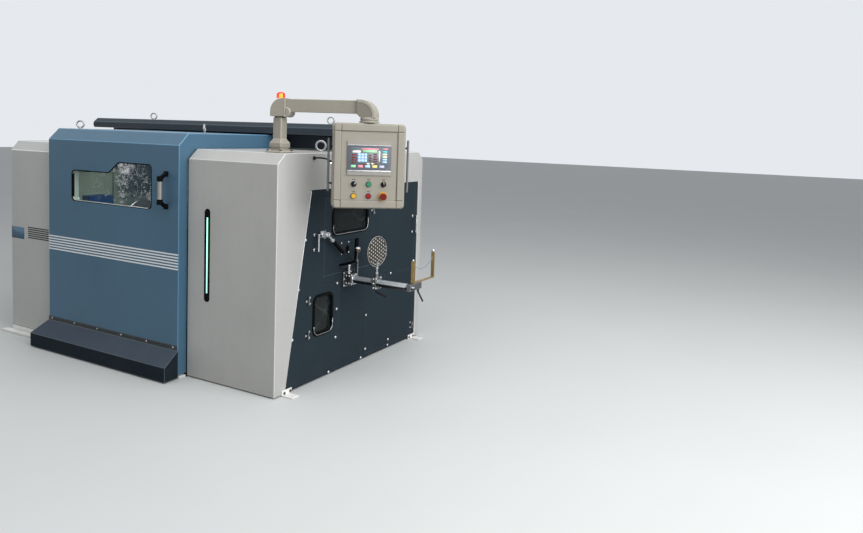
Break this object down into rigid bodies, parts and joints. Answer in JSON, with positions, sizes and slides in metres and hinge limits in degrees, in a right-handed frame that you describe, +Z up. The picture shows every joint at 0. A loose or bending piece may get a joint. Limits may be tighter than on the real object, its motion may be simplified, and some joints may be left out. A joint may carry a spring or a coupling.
{
  "type": "wire bunching machine",
  "caption": "Floor-standing wire bunching machine with cabinets at both ends, a sliding windowed cover over the reel, an outboard wire guide and a swivelling operator pendant.",
  "frame": {"origin": "on the floor, at the middle of the base plate's underside", "axes": "+X along the machine toward the wire inlet end, -Y toward the front with the sliding cover, +Z up"},
  "size_m": [3.3962, 1.938, 1.893],
  "materials": {
    "base_frame": "satin",
    "floor_rail": "satin",
    "corner_feet": "satin",
    "headstock_cabinet": "satin",
    "tailstock_cabinet": "satin",
    "rear_housing": "satin",
    "canopy": "satin",
    "signal_light": "gloss",
    "end_panel": "satin",
    "upper_window_seal": "semi-gloss",
    "upper_window_glass": "gloss",
    "inlet_plate": "satin",
    "latch_keeper": "polished",
    "latch_lever": "polished, black grip",
    "guide_bracket": "machined",
    "guide_tube": "polished",
    "guide_clamps": "machined",
    "guide_disc": "machined",
    "clamp_levers": "matte",
    "wire_guard": "yellow zinc",
    "fixed_lifting_eyes": "zinc",
    "work_lamp": "matte",
    "door_hinges": "polished",
    "operator_post": "satin",
    "reel_cradle": "satin",
    "front_cover": "satin",
    "cover_glass": "gloss",
    "cover_handle": "matte, grey grip",
    "kick_box": "satin",
    "cover_lifting_eyes": "zinc",
    "lower_door": "satin",
    "lower_window_seal": "semi-gloss",
    "lower_window_glass": "gloss",
    "service_door": "satin",
    "side_door": "satin",
    "side_door_handle": "polished",
    "operator_arm": "satin",
    "beacon": "translucent",
    "pendant_box": "satin",
    "pendant_screen": "gloss",
    "pendant_controls": "mixed colours",
    "pendant_side_rods": "satin",
    "estop_button": "gloss",
    "ball_lever": "brass ball",
    "take_up_reel": "worn"
  },
  "bodies": {
    "machine": {"base_frame": "base_frame", "floor_rail": "floor_rail", "corner_feet": "corner_feet", "headstock_cabinet": "headstock_cabinet", "tailstock_cabinet": "tailstock_cabinet", "rear_housing": "rear_housing", "canopy": "canopy", "signal_light": "signal_light", "end_panel": "end_panel", "upper_window_seal": "upper_window_seal", "upper_window_glass": "upper_window_glass", "inlet_plate": "inlet_plate", "latch_keeper": "latch_keeper", "guide_bracket": "guide_bracket", "guide_tube": "guide_tube", "guide_clamps": "guide_clamps", "guide_disc": "guide_disc", "clamp_levers": "clamp_levers", "wire_guard": "wire_guard", "fixed_lifting_eyes": "fixed_lifting_eyes", "work_lamp": "work_lamp", "door_hinges": "door_hinges", "operator_post": "operator_post", "reel_cradle": "reel_cradle"},
    "cover": {"front_cover": "front_cover", "cover_glass": "cover_glass", "cover_handle": "cover_handle", "kick_box": "kick_box", "cover_lifting_eyes": "cover_lifting_eyes"},
    "lower_door": {"lower_door": "lower_door", "lower_window_seal": "lower_window_seal", "lower_window_glass": "lower_window_glass"},
    "service_door": {"service_door": "service_door"},
    "side_door": {"side_door": "side_door", "side_door_handle": "side_door_handle"},
    "latch": {"latch_lever": "latch_lever"},
    "ball_lever": {"ball_lever": "ball_lever"},
    "reel": {"take_up_reel": "take_up_reel"},
    "arm": {"operator_arm": "operator_arm", "beacon": "beacon"},
    "pendant": {"pendant_box": "pendant_box", "pendant_screen": "pendant_screen", "pendant_controls": "pendant_controls", "pendant_side_rods": "pendant_side_rods"},
    "estop": {"estop_button": "estop_button"}
  },
  "joints": [
    {"name": "cover_slide", "type": "slide", "parent": "machine", "child": "cover", "axis": [-1, 0, 0], "range_m": [0, 0.58]},
    {"name": "lower_door_hinge", "type": "hinge", "parent": "machine", "child": "lower_door", "pos_m": [1.357, -0.5555, 0.43], "axis": [0, 0, -1], "range_deg": [0, 110]},
    {"name": "service_door_hinge", "type": "hinge", "parent": "machine", "child": "service_door", "pos_m": [1.357, 0.7755, 0.3], "axis": [0, 0, 1], "range_deg": [0, 110]},
    {"name": "side_door_hinge", "type": "hinge", "parent": "machine", "child": "side_door", "pos_m": [1.357, 0.1755, 0.9], "axis": [0, 0, -1], "range_deg": [0, 80]},
    {"name": "latch_turn", "type": "hinge", "parent": "machine", "child": "latch", "pos_m": [1.393, -0.418, 0.977], "axis": [1, 0, 0], "range_deg": [0, 60]},
    {"name": "ball_lever_turn", "type": "hinge", "parent": "machine", "child": "ball_lever", "pos_m": [1.406, -0.097, 0.668], "axis": [0, 1, 0], "range_deg": [-12, 30]},
    {"name": "reel_spin", "type": "hinge", "parent": "machine", "child": "reel", "pos_m": [-0.094, -0.405, 0.8], "axis": [1, 0, 0], "continuous": true},
    {"name": "arm_swivel", "type": "hinge", "parent": "machine", "child": "arm", "pos_m": [1.229, -0.717, 1.74], "axis": [0, 0, 1], "range_deg": [-105, 25]},
    {"name": "pendant_swivel", "type": "hinge", "parent": "arm", "child": "pendant", "pos_m": [1.7862, -0.5488, 1.713], "axis": [0, 0, 1], "range_deg": [-90, 90]},
    {"name": "estop_press", "type": "slide", "parent": "pendant", "child": "estop", "axis": [-0.6361, 0.7716, 0], "range_m": [0, 0.006], "stiffness_N_per_m": 900}
  ]
}
